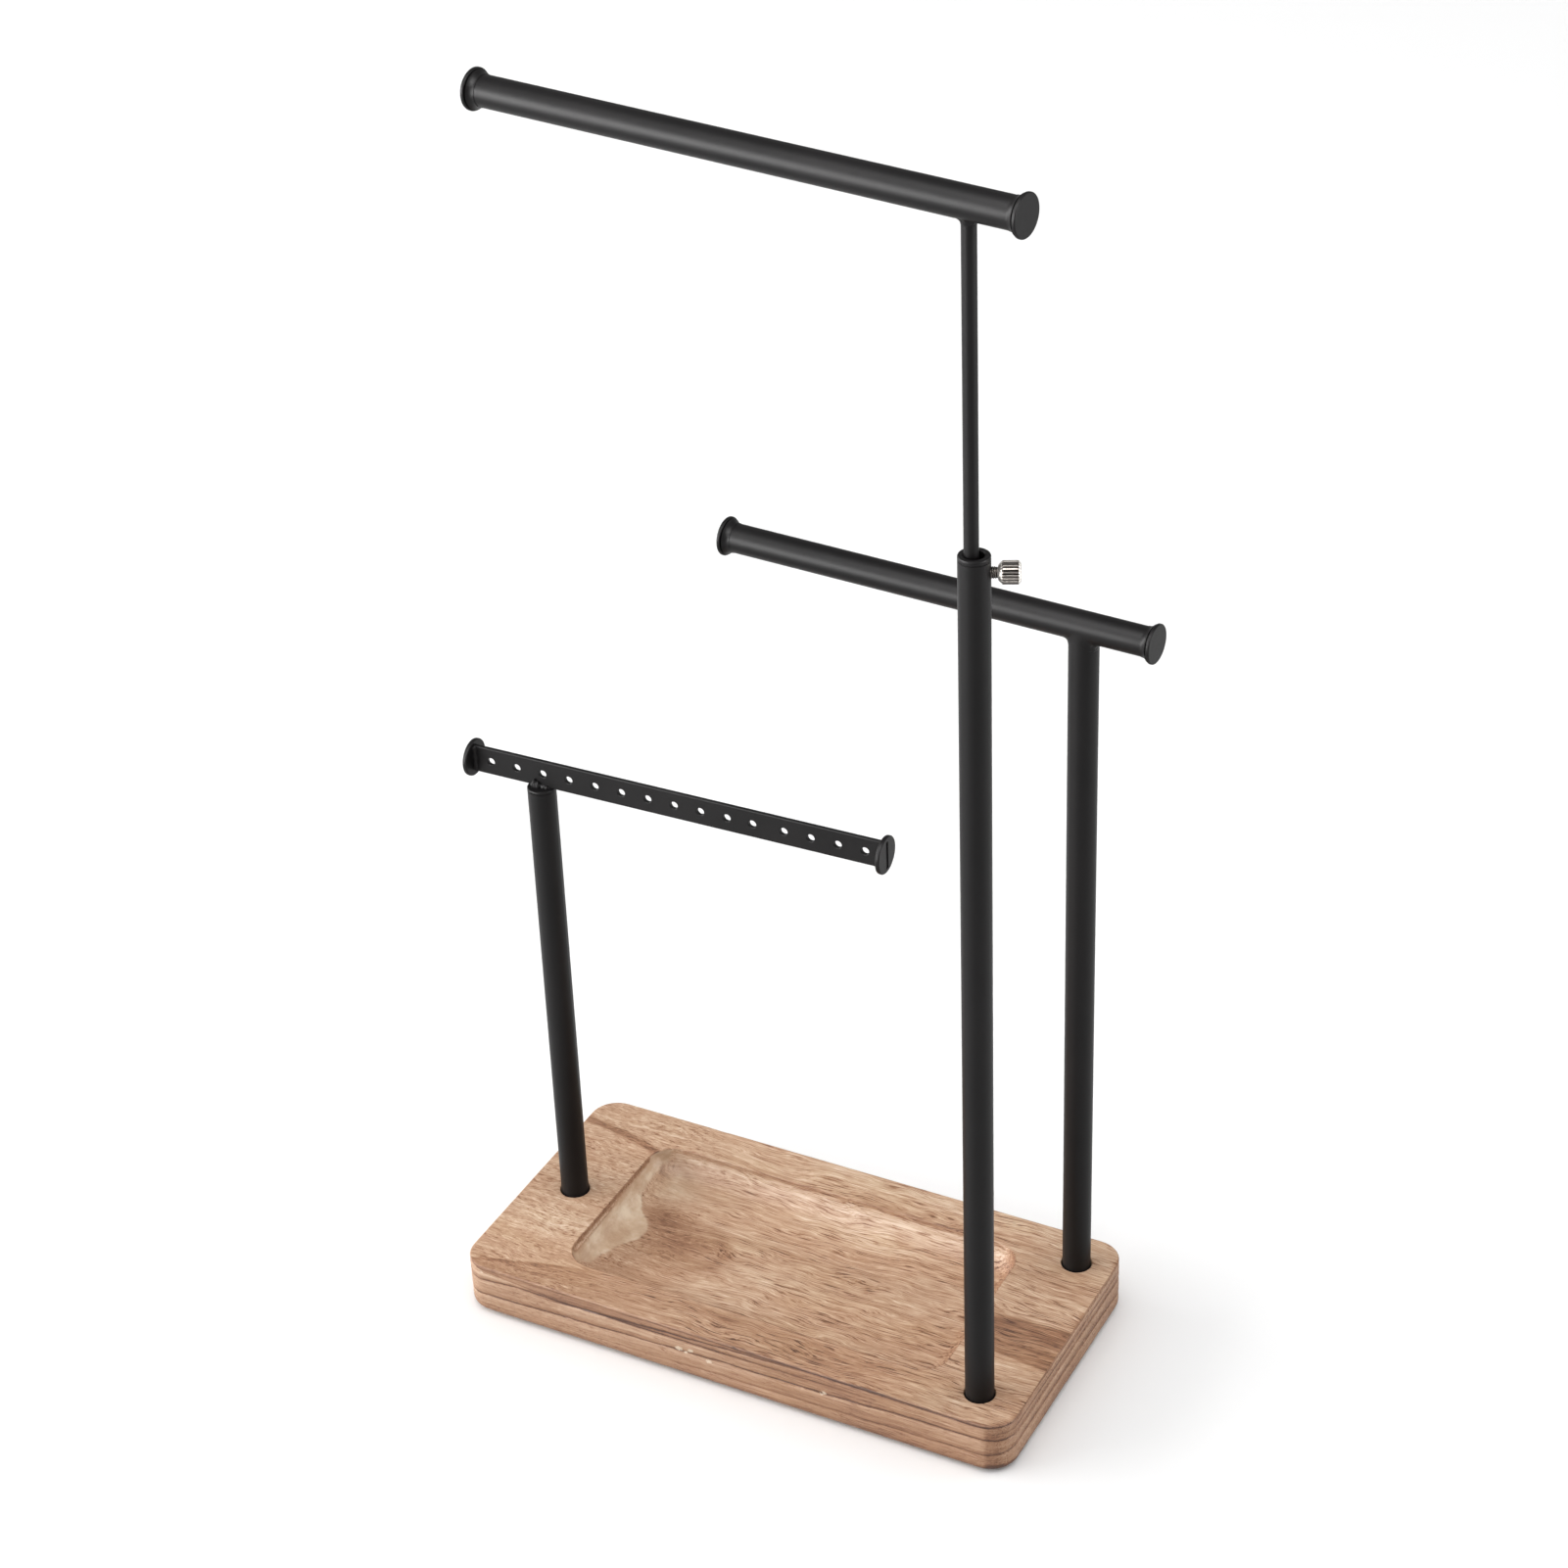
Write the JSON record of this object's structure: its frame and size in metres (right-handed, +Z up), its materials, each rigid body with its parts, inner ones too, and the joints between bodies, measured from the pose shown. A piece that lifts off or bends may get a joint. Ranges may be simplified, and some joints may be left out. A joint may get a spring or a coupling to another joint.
{
  "type": "jewellery stand",
  "caption": "Three-tier jewellery stand: dished wooden tray base with black steel posts, two round T-bars, a pierced earring bar, and a telescoping top bar clamped by a thumbscrew.",
  "frame": {"origin": "on the surface the stand rests on, under the middle of the wooden base", "axes": "+Z up along the posts, +X along the base towards the two-post end, -Y towards the viewer (front)"},
  "size_m": [0.2316, 0.1044, 0.4495],
  "materials": {
    "wood_board": "matt, lightly browned grain",
    "black_powder_coat": "satin, very fine texture",
    "nickel": "bright nickel plate",
    "zinc_steel": "zinc plated",
    "pad_rubber": "matt foam rubber"
  },
  "bodies": {
    "stand": {"base_board": "wood_board", "anti_slip_pads": "pad_rubber", "post_foot_inserts": "zinc_steel", "post_screws": "zinc_steel", "post_washers": "zinc_steel", "tall_post_tube": "black_powder_coat", "tall_post_bushing": "black_powder_coat", "back_post_tube": "black_powder_coat", "earring_post_tube": "black_powder_coat", "earring_post_plug": "black_powder_coat", "middle_bar_tube": "black_powder_coat", "middle_bar_cap_left": "black_powder_coat", "middle_bar_cap_right": "black_powder_coat", "middle_bar_weld": "black_powder_coat", "earring_bar_strip": "black_powder_coat", "earring_bar_disc_left": "black_powder_coat", "earring_bar_disc_right": "black_powder_coat", "earring_disc_welds": "black_powder_coat", "earring_bar_weld": "black_powder_coat"},
    "riser": {"riser_rod": "black_powder_coat"},
    "top_bar": {"top_bar_tube": "black_powder_coat", "top_bar_cap_left": "black_powder_coat", "top_bar_cap_right": "black_powder_coat", "top_bar_weld": "black_powder_coat"},
    "thumbscrew": {"thumbscrew_shank": "nickel"},
    "thumbscrew_head": {"thumbscrew_head": "nickel"}
  },
  "joints": [
    {"name": "riser_height", "type": "slide", "parent": "stand", "child": "riser", "axis": [0, 0, 1], "range_m": [-0.099, 0.025]},
    {"name": "top_bar_swivel", "type": "hinge", "parent": "riser", "child": "top_bar", "pos_m": [0.08827, -0.03783, 0.443], "axis": [0, 0, 1], "continuous": true},
    {"name": "thumbscrew_advance", "type": "slide", "parent": "stand", "child": "thumbscrew", "axis": [0.91, 0.4147, 0], "range_m": [0, 0.0014]},
    {"name": "thumbscrew_turn", "type": "hinge", "parent": "thumbscrew", "child": "thumbscrew_head", "pos_m": [0.089, -0.0375, 0.3301], "axis": [0.91, 0.4147, 0], "range_deg": [0, 720.5]}
  ],
  "couplings": [
    {"joint": "thumbscrew_turn", "follows": "thumbscrew_advance", "rad_per_m": 8976}
  ]
}
